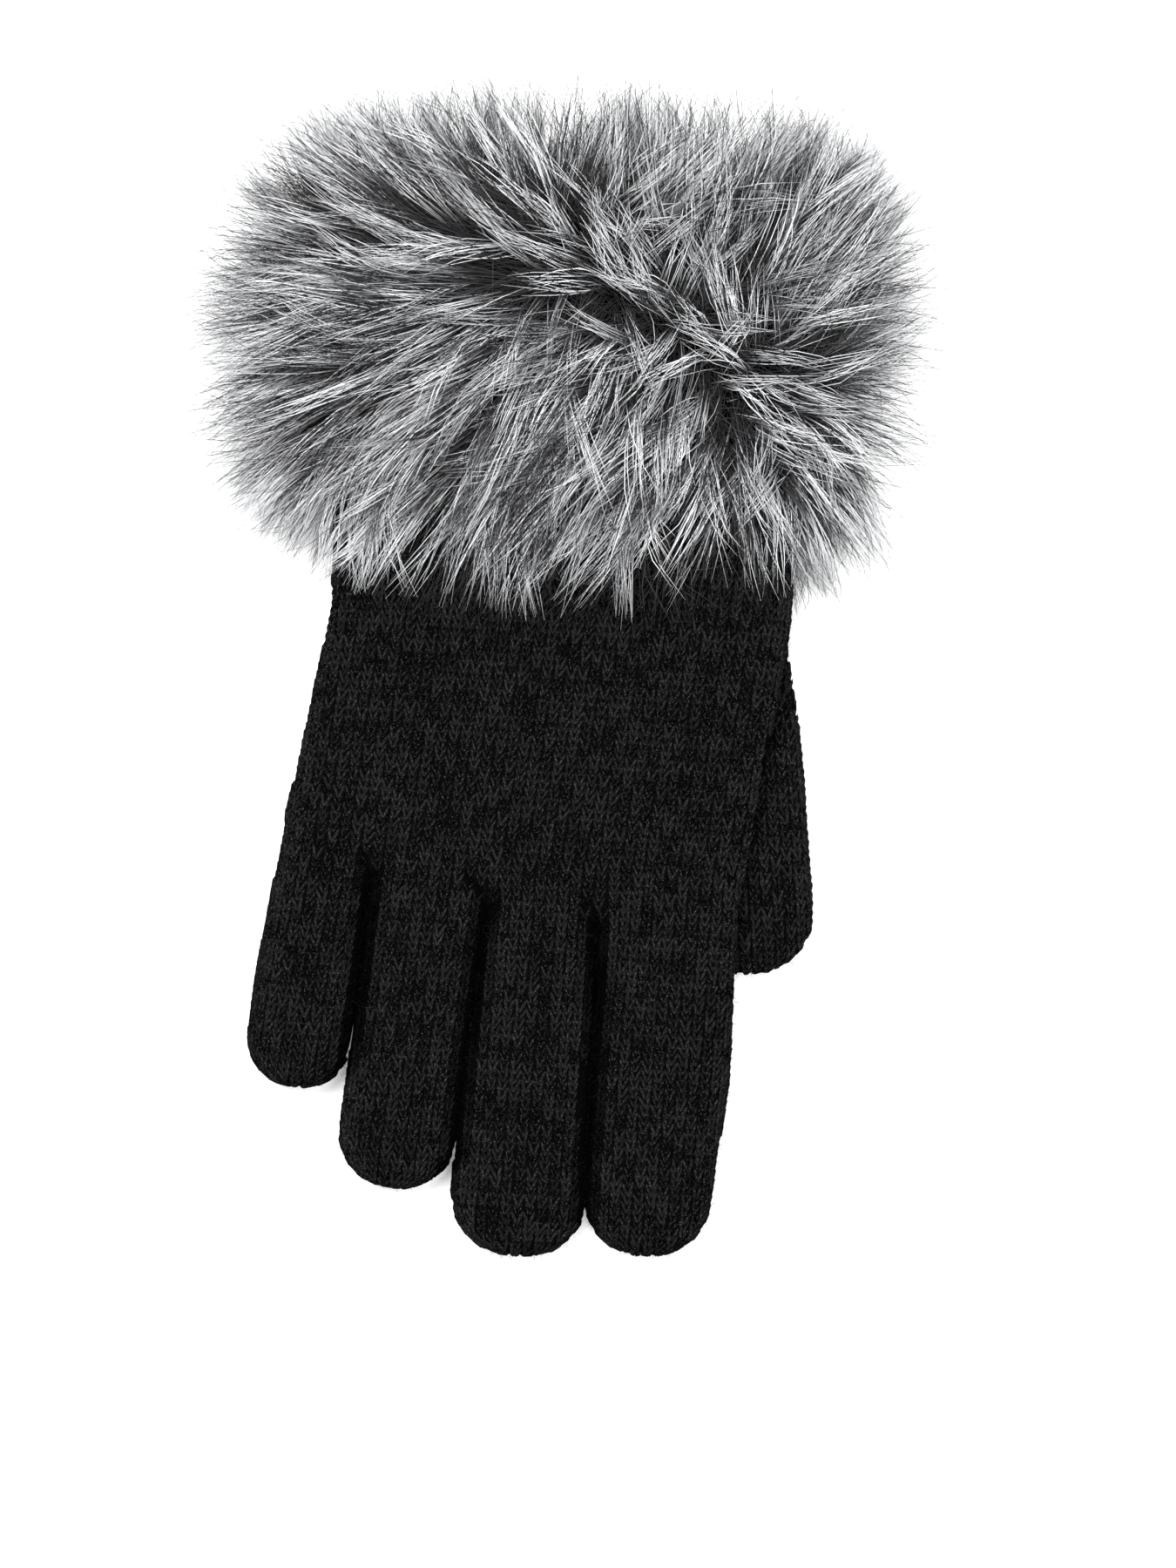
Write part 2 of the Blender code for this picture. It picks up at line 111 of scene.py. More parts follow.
class Wire:
    """A value travelling through a node tree. Arithmetic on it adds Math nodes."""

    def __init__(self, recipe: Recipe, socket: NodeSocket) -> None:
        """Wraps one output socket of a recipe's tree."""
        self.recipe = recipe
        self.socket = socket

    def _math(self, operation: str, first: Any, second: Any) -> Wire:
        """One Math node on two values."""
        node = self.recipe.add("ShaderNodeMath", {"operation": operation}, {0: first, 1: second})
        return self.recipe.out(node)

    def __add__(self, other: Any) -> Wire:
        """self + other."""
        return self._math("ADD", self, other)

    def __rsub__(self, other: Any) -> Wire:
        """other - self."""
        return self._math("SUBTRACT", other, self)

    def __mul__(self, other: Any) -> Wire:
        """self * other."""
        return self._math("MULTIPLY", self, other)


class Recipe:
    """A node tree being written, for a material or for Geometry Nodes."""

    def __init__(self, tree: NodeTree) -> None:
        """Starts from an empty tree."""
        self.tree = tree
        tree.nodes.clear()

    def add(
        self, kind: str, settings: dict[str, Any] | None = None, sockets: dict[Any, Any] | None = None
    ) -> Node:
        """Adds a node.

        Args:
            kind: The node's type name.
            settings: Its properties, which are set before its sockets.
            sockets: Input name or index to a value, a socket, a node or a Wire.

        Returns:
            The new node.
        """
        node = self.tree.nodes.new(kind)
        for name, value in (settings or {}).items():
            setattr(node, name, value)
        for key, value in (sockets or {}).items():
            target = node.inputs[key]
            if isinstance(value, Wire):
                value = value.socket
            if isinstance(value, Node):
                value = value.outputs[0]
            if isinstance(value, NodeSocket):
                self.tree.links.new(value, target)
            else:
                target.default_value = value
        return node

    def out(self, node: Node, key: Any = 0) -> Wire:
        """A node's output as a Wire."""
        return Wire(self, node.outputs[key])

    def named(self, label: str, kind: str = "FLOAT_VECTOR") -> Node:
        """Reads a named attribute in a Geometry Nodes tree."""
        return self.add("GeometryNodeInputNamedAttribute", {"data_type": kind}, {"Name": label})

    def scaled(self, into: Node, labels: Sequence[str], factors: Sequence[float]) -> Node:
        """A vector made of three of a tree's inputs, each times a factor."""
        parts = [self.out(into, label) * factor for label, factor in zip(labels, factors)]
        return self.add("ShaderNodeCombineXYZ", {}, dict(enumerate(parts)))

    def random(self, seed: Any, low: Any = 0.0, high: Any = 1.0) -> NodeSocket:
        """A seeded random value for each element.

        Args:
            seed: The seed.
            low: The lowest number or vector.
            high: The highest one.

        Returns:
            The socket that carries it.
        """
        vector = isinstance(low, tuple)
        kind = "FLOAT_VECTOR" if vector else "FLOAT"
        node = self.add("FunctionNodeRandomValue", {"data_type": kind}, {"Min": low, "Max": high, "Seed": seed})
        return node.outputs[0 if vector else 1]

    def blend(self, share: Any, first: Triple, second: Triple) -> NodeSocket:
        """Two colours mixed by a share."""
        node = self.add("ShaderNodeMix", {"data_type": "RGBA"}, {0: share, 6: (*first, 1.0), 7: (*second, 1.0)})
        return node.outputs[2]

    def finish(self, geometry: Node, into: Node, out: Node) -> NodeTree:
        """Ends a Geometry Nodes tree: real geometry, smooth, in the Material input.

        Args:
            geometry: The node that gives the geometry.
            into: The tree's input node.
            out: The tree's output node.

        Returns:
            The finished tree.
        """
        real = self.add("GeometryNodeRealizeInstances", {}, {"Geometry": geometry})
        smooth = self.add("GeometryNodeSetShadeSmooth", {}, {"Geometry": real})
        material = into.outputs["Material"]
        dressed = self.add("GeometryNodeSetMaterial", {}, {"Geometry": smooth, "Material": material})
        self.tree.links.new(dressed.outputs[0], out.inputs[0])
        return self.tree


def geometry_tree(name: str, inputs: dict[str, tuple[str, Any]]) -> tuple[Recipe, Node, Node]:
    """Starts a Geometry Nodes tree with named inputs.

    Args:
        name: The tree's name.
        inputs: Input name to its socket type and default value.

    Returns:
        The recipe, its input node and its output node.
    """
    tree = bpy.data.node_groups.new(name, "GeometryNodeTree")
    tree.interface.new_socket("Geometry", in_out="INPUT", socket_type="NodeSocketGeometry")
    for label, (kind, value) in inputs.items():
        item = tree.interface.new_socket(label, in_out="INPUT", socket_type=kind)
        if value is not None:
            item.default_value = value
    tree.interface.new_socket("Geometry", in_out="OUTPUT", socket_type="NodeSocketGeometry")
    recipe = Recipe(tree)
    return recipe, recipe.add("NodeGroupInput"), recipe.add("NodeGroupOutput")


def grow(obj: Object, tree: NodeTree, values: dict[str, Any]) -> Object:
    """Runs a Geometry Nodes tree on an object and keeps the result as its plain mesh.

    Args:
        obj: The object that feeds the tree.
        tree: The tree to run.
        values: Input name to the value to set.

    Returns:
        The same object, with its new mesh and no modifier.
    """
    modifier = obj.modifiers.new("grow", "NODES")
    modifier.node_group = tree
    for item in tree.interface.items_tree:
        if item.in_out == "INPUT" and item.name in values:
            modifier[item.identifier] = values[item.name]
    return baked(obj)


def baked(obj: Object) -> Object:
    """Keeps what an object's modifiers make as its plain mesh.

    Args:
        obj: The object.

    Returns:
        The same object, with no modifier.
    """
    bpy.context.view_layer.update()
    graph = bpy.context.evaluated_depsgraph_get()
    made = bpy.data.meshes.new_from_object(obj.evaluated_get(graph))
    made.name = obj.name
    old = obj.data
    obj.modifiers.clear()
    obj.data = made
    bpy.data.meshes.remove(old)
    return obj


def sheet_mesh(name: str, sheet: bmesh.types.BMesh) -> Mesh:
    """Turns a BMesh into a mesh and frees it.

    Args:
        name: The mesh's name.
        sheet: The BMesh.

    Returns:
        The mesh.
    """
    mesh = bpy.data.meshes.new(name)
    sheet.to_mesh(mesh)
    sheet.free()
    return mesh


def new_object(name: str, data: ID) -> Object:
    """An object linked to the scene.

    Args:
        name: Its name.
        data: Its mesh, light or camera.

    Returns:
        The object.
    """
    obj = bpy.data.objects.new(name, data)
    bpy.context.scene.collection.objects.link(obj)
    return obj


def point_mesh(name: str, points: Array, edges: Array | None, facts: dict[str, Array]) -> Mesh:
    """A mesh of loose points or edges with named attributes.

    Args:
        name: The mesh's name.
        points: Positions, one row each.
        edges: Pairs of point numbers, or None.
        facts: Attribute name to its values, one number or one vector for each point.

    Returns:
        The mesh.
    """
    mesh = bpy.data.meshes.new(name)
    mesh.vertices.add(len(points))
    mesh.vertices.foreach_set("co", np.ascontiguousarray(points, np.float32).ravel())
    if edges is not None:
        mesh.edges.add(len(edges))
        mesh.edges.foreach_set("vertices", np.ascontiguousarray(edges, np.int32).ravel())
    for label, values in facts.items():
        flat = np.ascontiguousarray(values, np.float32)
        kind, key = ("FLOAT_VECTOR", "vector") if flat.ndim == 2 else ("FLOAT", "value")
        mesh.attributes.new(label, kind, "POINT").data.foreach_set(key, flat.ravel())
    mesh.update()
    return mesh


# ---- finishes


@dataclass(frozen=True)
class Finish(ABC):
    """A material made of one Principled shader."""

    name: str

    def build(self) -> Material:
        """Makes the material.

        Returns:
            The material.
        """
        material = bpy.data.materials.new(self.name)
        material.use_nodes = True
        recipe = Recipe(material.node_tree)
        shader = recipe.add("ShaderNodeBsdfPrincipled", {}, self.sockets(recipe))
        recipe.add("ShaderNodeOutputMaterial", {}, {"Surface": shader})
        return material

    @abstractmethod
    def sockets(self, recipe: Recipe) -> dict[str, Any]:
        """What goes into the shader."""


@dataclass(frozen=True)
class KnitFinish(Finish):
    """Black brushed wool, with painted glints off its fibres and painted shade in the creases between the fingers."""

    dark: Triple = (0.0005, 0.0005, 0.0005)
    # The light end of the colour: noise mixes towards it as painted glints off the fibres, and each stitch's random
    # tone mixes towards it a little.
    painted_glint_and_tone: Triple = (0.115, 0.114, 0.112)
    # How strong, how large and how sparse the painted glints are.
    painted_glint_amount: float = 0.44
    painted_glint_size: float = 0.36 * MM
    painted_glint_edges: Pair = (0.52, 0.72)
    stitch_share: float = 0.06
    fibre_size: float = 0.16 * MM
    fibre_depth: float = 0.12 * MM
    # Painted shade: how much darker the colour gets deep in the creases between the fingers.
    painted_crease_shade: float = 0.95
    bump: float = 0.6
    roughness: float = 0.95

    def sockets(self, recipe: Recipe) -> dict[str, Any]:
        """Painted glints off the fibres, painted shade in the creases, over a fine bump.

        Args:
            recipe: The material's nodes.

        Returns:
            The shader's inputs.
        """
        place = recipe.add("ShaderNodeTexCoord").outputs["Object"]
        # Noise that the ramp below turns into sparse painted glints off the fibres.
        glint_noise = {"Vector": place, "Scale": 1 / self.painted_glint_size, "Detail": 3.0, "Roughness": 0.7}
        painted_glints = recipe.add("ShaderNodeTexNoise", {}, glint_noise)
        fibres = recipe.add("ShaderNodeTexNoise", {}, {"Vector": place, "Scale": 1 / self.fibre_size, "Detail": 2.0})
        ramp = recipe.add("ShaderNodeValToRGB", {}, {0: painted_glints.outputs[0]})
        for element, edge in zip(ramp.color_ramp.elements, self.painted_glint_edges):
            element.position = edge
        tone = recipe.add("ShaderNodeAttribute", {"attribute_name": "tone"})
        # Painted shade: the crease attribute darkens the colour deep in the creases between the fingers.
        crease = recipe.add("ShaderNodeAttribute", {"attribute_name": "crease"})
        light = 1.0 - recipe.out(crease, "Fac") * self.painted_crease_shade
        share = (recipe.out(ramp) * self.painted_glint_amount + recipe.out(tone, "Fac") * self.stitch_share) * light
        height = {"Height": fibres.outputs[0], "Strength": self.bump, "Distance": self.fibre_depth}
        return {
            "Base Color": recipe.blend(share, self.dark, self.painted_glint_and_tone),
            "Roughness": self.roughness,
            "Specular IOR Level": 0.0,
            "Normal": recipe.add("ShaderNodeBump", {}, height),
        }


@dataclass(frozen=True)
class FurFinish(Finish):
    """Acrylic pile: each hair runs from a dark root to a frosted end."""

    root: Triple = (0.007, 0.007, 0.008)
    tip: Triple = (0.93, 0.94, 0.96)
    roughness: float = 0.62
    specular: float = 0.15

    def sockets(self, recipe: Recipe) -> dict[str, Any]:
        """Dark to frosted, as the hair's own attribute says.

        Args:
            recipe: The material's nodes.

        Returns:
            The shader's inputs.
        """
        frost = recipe.add("ShaderNodeAttribute", {"attribute_name": "frost"}).outputs["Fac"]
        return {
            "Base Color": recipe.blend(frost, self.root, self.tip),
            "Roughness": self.roughness,
            "Specular IOR Level": self.specular,
        }


@dataclass(frozen=True)
class PaperFinish(Finish):
    """The studio's plain white sheet."""

    colour: Triple = (0.93, 0.93, 0.93)
    roughness: float = 0.9
    specular: float = 0.1
    glow: float = 0.25

    def sockets(self, recipe: Recipe) -> dict[str, Any]:
        """Plain white, glowing a little.

        Args:
            recipe: The material's nodes. Not used.

        Returns:
            The shader's inputs.
        """
        white = (*self.colour, 1.0)
        return {
            "Base Color": white,
            "Roughness": self.roughness,
            "Specular IOR Level": self.specular,
            "Emission Color": white,
            "Emission Strength": self.glow,
        }


# ---- the knitted shell


@dataclass(frozen=True)
class Column:
    """A stretch of the glove that is knitted as one tube, with its middle line seen from above."""

    name: str
    root: Pair
    lean: float
    tip_y: float
    tip_radius: float
    left: float = -1.0
    right: float = 1.0

    def middle(self, y: float) -> float:
        """The middle line's x at that y."""
        return self.root[0] + (y - self.root[1]) * math.tan(self.lean)

    def holds(self, x: float, y: float) -> bool:
        """Whether a point lies between the creases on its two sides, left and right at CREASE_Y."""
        shift = CREASE_SLOPE * (y - CREASE_Y)
        return self.left + shift <= x < self.right + shift

    def tip_rows(self, start: float, course: float) -> Iterator[float]:
        """Courses that close the tip.

        Args:
            start: The y of the last course before the tip.
            course: The height of a course.

        Yields:
            The y of each, one course apart over the tip's roundness.
        """
        centre = self.tip_y + self.tip_radius
        turn = (centre - start + course) / self.tip_radius
        while turn < TIP_TURN:
            yield centre - self.tip_radius * (math.sin(turn) if turn > 0 else turn)
            turn += course / self.tip_radius

    def run(self) -> Vector:
        """The direction the wales run, towards the tip."""
        return Vector((-math.sin(self.lean), -math.cos(self.lean), 0))


@dataclass
class KnitShell:
    """The knitted hand, fingers and thumb: a soft skin under real stitches and loose fibres."""

    wale: float = 2.5 * MM
    course: float = 1.85 * MM
    yarn: float = 1.0 * MM
    leg_lean: float = math.radians(20)
    leg_size: Triple = (0.43, 0.55, 1.02)
    leg_place: Triple = (0.215, 0.05, 0.20)
    stitch_range: Pair = (0.88, 1.10)
    edge_margin: float = 0.3
    fibre_length: float = 2.0 * MM
    fibre_width: float = 0.035 * MM
    fibre_spread: float = 1.2 * MM
    fibre_tilt: float = 1.1
    fibre_range: Pair = (0.4, 1.3)
    voxel: float = 0.55 * MM
    soften_rounds: int = 20
    kept_faces: float = 0.06
    ground: float = 0.5 * MM
    seam_close: float = 0.4 * MM
    swell: float = 0.80 * MM
    snap_reach: float = 1.2 * MM
    crowd_reach: float = 1.3 * MM
    # How far across and how strongly the painted crease shade reaches.
    crease_reach: float = 8.0 * MM
    crease_gain: float = 1.5
    sink: float = 0.12 * MM
    side_sink: float = 0.12 * MM
    jitter: float = 0.09
    crotch_y: float = -23.0 * MM
    # Where the painted crease shade begins past the knuckles, and over how far it fades in.
    knuckle_line: Pair = (-28.5 * MM, -0.132)
    knuckle_fade: float = 5.0 * MM
    wrist_y: float = 46.0 * MM
    lowest_y: float = -110 * MM
    thumb_top: float = 11.5 * MM
    thumb_left: float = 18 * MM
    thumb_end: float = -46 * MM
    hand: Column = Column("hand", (2.4 * MM, 38 * MM), math.radians(4.6), -60 * MM, 1 * MM)
    fingers: tuple[Column, ...] = (
        Column("little", (-43.1 * MM, -22.8 * MM), math.radians(5.2), -74.2 * MM, 9.0 * MM, right=-34.7 * MM),
        Column("ring", (-21.0 * MM, -25.7 * MM), math.radians(3.9), -94.2 * MM, 9.5 * MM, -34.7 * MM, -10.0 * MM),
        Column("middle", (2.65 * MM, -28.9 * MM), math.radians(0.6), -106.9 * MM, 10.0 * MM, -10.0 * MM, 14.5 * MM),
        Column("first", (28.6 * MM, -32.2 * MM), math.radians(0.2), -105.3 * MM, 10.0 * MM, 14.5 * MM),
    )
    thumb: Column = Column("thumb", (38.7 * MM, 19.7 * MM), math.radians(-6.9), -44.6 * MM, 8.0 * MM)
    skin: Object | None = field(default=None, repr=False)

    def build_skin(self, nodes: Sequence[Object]) -> Object:
        """Softens the solids' facets into one smooth fabric, with its seams closed.

        Args:
            nodes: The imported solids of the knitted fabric, the hand first.

        Returns:
            The skin.
        """
        sheet = bmesh.new()
        for node in nodes:
            copy = node.data.copy()
            if node is not nodes[0]:
                shift = self.seam_close if node.name in FINGERS else -self.seam_close
                copy.transform(Matrix.Translation((0, shift, 0)))
            sheet.from_mesh(copy)
            bpy.data.meshes.remove(copy)
        bmesh.ops.remove_doubles(sheet, verts=sheet.verts, dist=0.002 * MM)
        skin = new_object("glove_skin", sheet_mesh("glove_skin", sheet))
        remesh = skin.modifiers.new("even", "REMESH")
        remesh.mode = "VOXEL"
        remesh.voxel_size = self.voxel
        soften = skin.modifiers.new("soften", "SMOOTH")
        soften.factor = 0.5
        soften.iterations = self.soften_rounds
        swell = skin.modifiers.new("swell", "DISPLACE")
        swell.mid_level = 0.0
        swell.strength = self.swell
        thin = skin.modifiers.new("thin", "DECIMATE")
        thin.ratio = self.kept_faces
        self.skin = baked(skin)
        skin.data.shade_smooth()
        lift(skin, self.ground)
        return skin

    def lattice(self) -> dict[str, Array]:
        """Lays the stitches out in courses and wales over the outside of the skin.

        Returns:
            Each stitch's place, its outward direction, the direction its wale runs and its crease depth, which sets the
            painted shade in the creases.
        """
        slicer = Slicer(self.skin)
        tipped = (*self.fingers, self.thumb)
        places: list[Triple] = []
        runs: list[Vector] = []
        rows: list[tuple[float, Column | None]] = []
        ends: dict[str, float] = {}
        count = int((self.wrist_y - self.lowest_y) / self.course)
        for y in (self.wrist_y - row * self.course for row in range(count)):
            rows.append((y, None))
            ends.update({c.name: y for c in tipped if y > c.tip_y + c.tip_radius})
        for column in tipped:
            rows += [(y, column) for y in column.tip_rows(ends[column.name], self.course)]
        for y, only in rows:
            for outline in slicer.outlines(y):
                shared = len(outline.owners(self.fingers, y)) > 1
                for column in self.columns_in(outline, y):
                    rounding = y < column.tip_y + column.tip_radius
                    if (column if rounding else None) is not only:
                        continue
                    for arc in outline.arcs():
                        for x, z in self.along(arc, column, y, shared):
                            places.append((x, y, z))
                            runs.append(column.run())
        return self.settle(np.array(places), runs)

    def columns_in(self, outline: Outline, y: float) -> list[Column]:
        """The tubes that an outline cuts.

        Args:
            outline: The outline.
            y: Where it was cut.

        Returns:
            The tubes.
        """
        if outline.top < self.thumb_top and outline.low_x > self.thumb_left and y > self.thumb_end:
            return [self.thumb]
        if y > self.crotch_y:
            return [self.hand]
        return outline.owners(self.fingers, y)

    def along(self, arc: Array, column: Column, y: float, shared: bool) -> Iterator[Pair]:
        """Points one wale apart along an arc of an outline, counted from the column's middle line.

        Args:
            arc: The arc's (x, z) points, left to right.
            column: The tube it belongs to.
            y: Where the outline was cut.
            shared: Whether neighbouring tubes are still joined in this outline.

        Yields:
            The (x, z) of each stitch.
        """
        steps = np.linalg.norm(np.diff(arc, axis=0), axis=1)
        travelled = np.concatenate([[0.0], np.cumsum(steps)])
        middle = float(np.interp(column.middle(y), arc[:, 0], travelled))
        if column is not self.hand and column is not self.thumb:
            offset = (column.root[0] - self.hand.middle(column.root[1])) / self.wale
            middle += (round(offset) - offset) * self.wale
        margin = self.edge_margin * self.wale
        first = math.ceil((margin - middle) / self.wale)
        last = math.floor((travelled[-1] - margin - middle) / self.wale)
        for wale in range(first, last + 1):
            reach = middle + wale * self.wale
            x = float(np.interp(reach, travelled, arc[:, 0]))
            z = float(np.interp(reach, travelled, arc[:, 1]))
            if shared and not column.holds(x, y):
                continue
            yield x, z

    def settle(self, places: Array, runs: Sequence[Vector]) -> dict[str, Array]:
        """Moves the stitches onto the skin and turns them to lie along it.

        Args:
            places: Where the cuts put them.
            runs: The direction each one's wale runs.

        Returns:
            The values that lattice gives.
        """
        tree = BVHTree.FromObject(self.skin, bpy.context.evaluated_depsgraph_get())
        random = np.random.default_rng(5)
        kept, ups, ways, painted_shade_depths = [], [], [], []
        for place, run in zip(places, runs):
            spot, normal, _, distance = tree.find_nearest(Vector(place))
            if spot is None or distance > self.snap_reach:
                continue
            crease = tree.ray_cast(spot + normal * 0.2 * MM, normal, self.crowd_reach)[0]
            way = run + Vector((random.normal(0, self.jitter), 0, 0))
            way -= normal * way.dot(normal)
            if way.length < 0.06 or crease is not None:
                continue
            depth = self.sink + self.side_sink * (1 - abs(normal.z))
            kept.append(spot - normal * depth)
            ups.append(normal)
            ways.append(way.normalized())
            # The crease depth becomes painted shade in the knit's colour.
            painted_shade_depths.append(self.painted_crease_shade_depth(tree, spot, normal))
        found = {"place": kept, "up": ups, "run": ways, "crease": painted_shade_depths}
        return {label: np.array(values) for label, values in found.items()}

    def painted_crease_shade_depth(self, tree: BVHTree, spot: Vector, normal: Vector) -> float:
        """How deep a spot lies in the crease between two fingers, which sets how much painted shade darkens the knit
        there.

        Args:
            tree: The skin.
            spot: The spot on it.
            normal: Its outward direction there.

        Returns:
            0 on open fabric, up to 1.
        """
        across = Vector((math.copysign(1.0, normal.x), 0, 0))
        distance = tree.ray_cast(spot + normal * 0.4 * MM, across, self.crease_reach)[3]
        if distance is None:
            return 0.0
        past_knuckles = self.knuckle_line[0] + self.knuckle_line[1] * spot.x + 3 * MM - spot.y
        begun = min(1.0, max(0.0, past_knuckles / self.knuckle_fade))
        return min(1.0, self.crease_gain * (1 - distance / self.crease_reach)) * begun

    def stitch_tree(self) -> NodeTree:
        """Writes the tree that puts a stitch, two legs of yarn that lean apart, on each lattice point.

        Returns:
            The tree.
        """
        inputs = {label: ("NodeSocketFloat", 1.0 * MM) for label in ("Wale", "Course", "Yarn")}
        inputs |= {"Seed": ("NodeSocketInt", 3), "Material": ("NodeSocketMaterial", None)}
        recipe, into, out = geometry_tree("knit stitches", inputs)
        spindle = recipe.add("GeometryNodeMeshUVSphere", {}, {"Segments": 4, "Rings": 3, "Radius": 1.0})
        stitch = recipe.add("GeometryNodeJoinGeometry")
        aside, along, above = self.leg_place
        for side in (-1.0, 1.0):
            euler = (-math.pi / 2, 0.0, side * self.leg_lean)
            sockets = {
                "Geometry": spindle,
                "Translation": recipe.scaled(into, ("Wale", "Course", "Yarn"), (aside * side, along, above)),
                "Rotation": recipe.add("FunctionNodeEulerToRotation", {}, {"Euler": euler}),
                "Scale": recipe.scaled(into, ("Yarn", "Yarn", "Course"), self.leg_size),
            }
            leg = recipe.add("GeometryNodeTransform", {}, sockets)
            recipe.tree.links.new(leg.outputs[0], stitch.inputs[0])
        turn = recipe.add("FunctionNodeAlignRotationToVector", {"axis": "Z"}, {"Vector": recipe.named("up")})
        along_run = {"Rotation": turn, "Vector": recipe.named("run")}
        turn = recipe.add("FunctionNodeAlignRotationToVector", {"axis": "Y", "pivot_axis": "Z"}, along_run)
        seed = into.outputs["Seed"]
        size = recipe.random(seed, *self.stitch_range)
        points = recipe.add("GeometryNodeMeshToPoints", {}, {"Mesh": into.outputs["Geometry"]})
        placed = recipe.add(
            "GeometryNodeInstanceOnPoints", {}, {"Points": points, "Instance": stitch, "Rotation": turn, "Scale": size}
        )
        toned = recipe.add(
            "GeometryNodeStoreNamedAttribute",
            {"data_type": "FLOAT", "domain": "INSTANCE"},
            {"Geometry": placed, "Name": "tone", "Value": recipe.random(seed)},
        )
        return recipe.finish(toned, into, out)

    def fibre_tree(self) -> NodeTree:
        """Writes the tree that stands thin loose fibres about each lattice point.

        Returns:
            The tree.
        """
        inputs = {label: ("NodeSocketFloat", 1.2 * MM) for label in ("Length", "Thickness", "Spread")}
        inputs |= {label: ("NodeSocketInt", 2) for label in ("Fibres", "Seed")}
        recipe, into, out = geometry_tree("loose fibres", inputs | {"Material": ("NodeSocketMaterial", None)})
        seed = into.outputs["Seed"]
        points = recipe.add("GeometryNodeMeshToPoints", {}, {"Mesh": into.outputs["Geometry"]})
        more = recipe.add(
            "GeometryNodeDuplicateElements", {"domain": "POINT"}, {"Geometry": points, "Amount": into.outputs["Fibres"]}
        )
        jitter = recipe.random(seed, (-1.0, -1.0, -1.0), (1.0, 1.0, 1.0))
        shift = recipe.add("ShaderNodeVectorMath", {"operation": "SCALE"}, {0: jitter, "Scale": into.outputs["Spread"]})
        moved = recipe.add("GeometryNodeSetPosition", {}, {"Geometry": more, "Offset": shift})
        other = recipe.out(into, "Seed") + 11.0
        tilt = recipe.random(other, (-self.fibre_tilt,) * 3, (self.fibre_tilt,) * 3)
        lean = recipe.add("ShaderNodeVectorMath", {"operation": "ADD"}, {0: recipe.named("up"), 1: tilt})
        turn = recipe.add("FunctionNodeAlignRotationToVector", {"axis": "Z"}, {"Vector": lean})
        size = recipe.random(other, *self.fibre_range)
        sizes = {"Radius Bottom": into.outputs["Thickness"], "Depth": into.outputs["Length"]}
        cone = recipe.add("GeometryNodeMeshCone", {"fill_type": "NGON"}, {"Vertices": 3, "Radius Top": 0.0} | sizes)
        placed = recipe.add(
            "GeometryNodeInstanceOnPoints", {}, {"Points": moved, "Instance": cone, "Rotation": turn, "Scale": size}
        )
        return recipe.finish(placed, into, out)

    def build(self, nodes: Sequence[Object]) -> list[Object]:
        """Makes the skin, its stitches and its loose fibres.

        Args:
            nodes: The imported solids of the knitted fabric, the hand first.

        Returns:
            The pieces.
        """
        finish = KnitFinish("black_wool_knit").build()
        # The loose fibres get brighter painted glints than the stitches.
        fuzz = KnitFinish("wool_fibres", dark=(0.012, 0.012, 0.012), painted_glint_and_tone=(0.12, 0.12, 0.12), bump=0.0).build()
        skin = self.build_skin(nodes)
        skin.data.materials.clear()
        # The skin under the stitches gets only faint painted glints.
        ground = KnitFinish("wool_ground", dark=(0.0012, 0.0012, 0.0012), painted_glint_amount=0.04).build()
        skin.data.materials.append(ground)
        lattice = self.lattice()
        yarn = {"Wale": self.wale, "Course": self.course, "Yarn": self.yarn, "Seed": 3, "Material": finish}
        fibre = {"Length": self.fibre_length, "Thickness": self.fibre_width, "Spread": self.fibre_spread}
        fibre |= {"Fibres": 2, "Seed": 7, "Material": fuzz}
        stitches, fibres = self.stitch_tree(), self.fibre_tree()
        hand = lattice["place"][:, 1] > self.crotch_y
        pieces = [skin]
        for name, chosen, tree, values in (
            ("stitches_hand", hand, stitches, yarn),
            ("stitches_fingers", ~hand, stitches, yarn),
            ("wool_fibres", hand | ~hand, fibres, fibre),
        ):
            # The crease values darken the stitches' and the fibres' colour as painted shade.
            facts = {label: lattice[label][chosen] for label in ("up", "run", "crease")}
            piece = new_object(name, point_mesh(name, lattice["place"][chosen], None, facts))
            pieces.append(grow(piece, tree, values))
            lift(piece, TABLE_GAP)
        return pieces


def lift(piece: Object, lowest: float) -> None:
    """Flattens what would reach below a height.

    Args:
        piece: The piece, whose mesh is changed.
        lowest: The height.
    """
    points = np.empty(len(piece.data.vertices) * 3)
    piece.data.vertices.foreach_get("co", points)
    points = points.reshape(-1, 3)
    points[:, 2] = np.maximum(points[:, 2], lowest)
    piece.data.vertices.foreach_set("co", points.ravel())
    piece.data.update()


@dataclass
class Outline:
    """One closed outline of the solid at a cut, as (x, z) points in order."""

    points: Array

    @property
    def top(self) -> float:
        """Its highest point."""
        return float(self.points[:, 1].max())

    @property
    def low_x(self) -> float:
        """Its leftmost x."""
        return float(self.points[:, 0].min())

    @property
    def high_x(self) -> float:
        """Its rightmost x."""
        return float(self.points[:, 0].max())

    def owners(self, columns: Sequence[Column], y: float) -> list[Column]:
        """The columns whose middle lines run through it."""
        return [c for c in columns if self.low_x < c.middle(y) < self.high_x]

    def arcs(self) -> list[Array]:
        """Splits it at its left and right ends.

        Returns:
            Its upper and lower halves, each from left to right.
        """
        left, right = int(self.points[:, 0].argmin()), int(self.points[:, 0].argmax())
        order = np.roll(self.points, -left, axis=0)
        split = (right - left) % len(order)
        return [order[: split + 1], np.roll(order, -split, axis=0)[: len(order) - split + 1][::-1]]


